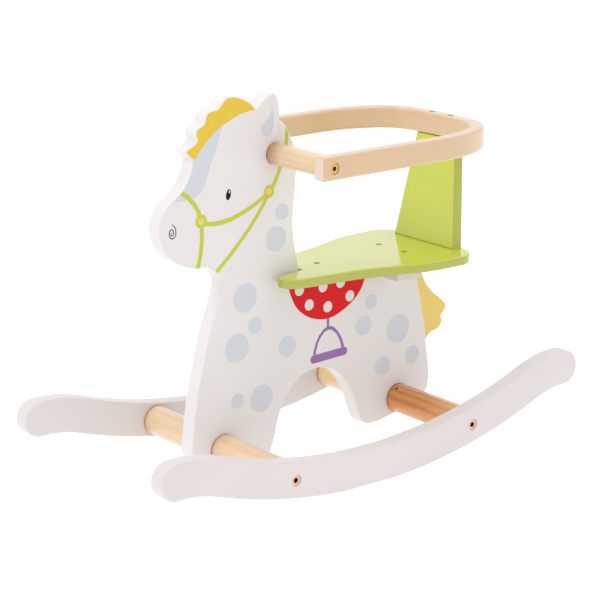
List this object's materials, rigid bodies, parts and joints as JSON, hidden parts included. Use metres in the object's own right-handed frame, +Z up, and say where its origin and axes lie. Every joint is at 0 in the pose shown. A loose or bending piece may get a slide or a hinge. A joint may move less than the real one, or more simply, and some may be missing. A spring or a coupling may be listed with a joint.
{
  "type": "rocking horse",
  "caption": "Toddler's wooden rocking horse: a flat painted horse board between two curved rockers, with a seat, backrest, hand grip and bent-wood guard rail.",
  "frame": {"origin": "on the floor, midway between the tips of the rockers, on the middle plane of the horse board", "axes": "+Z up; the horse faces -Y and its tail is towards +Y, so the rockers run along Y; the horse's left side is +X"},
  "size_m": [0.3, 0.6409, 0.4533],
  "materials": {
    "horse_paint": "satin white paint with printed decoration",
    "white_paint": "satin white paint",
    "birch": "clear satin varnish",
    "pine": "clear satin varnish",
    "green_paint": "gloss green paint",
    "copper_plate": "copper-coloured plating",
    "brass": "bright plating",
    "steel": "zinc plated"
  },
  "bodies": {
    "root": {"horse_body": "horse_paint", "left_rocker": "white_paint", "right_rocker": "white_paint", "front_crossbar": "birch", "rear_crossbar": "pine", "handle_bar": "birch", "guard_rail": "birch", "backrest": "green_paint", "seat_board": "green_paint", "left_seat_cleat": "white_paint", "right_seat_cleat": "white_paint", "cleat_dowels": "birch", "rocker_bolts": "copper_plate", "rocker_inserts": "brass", "rail_bolts": "brass", "rail_inserts": "brass", "seat_screws": "steel", "backrest_screws": "steel", "rail_screws": "steel", "crossbar_pins": "steel"}
  },
  "joints": []
}
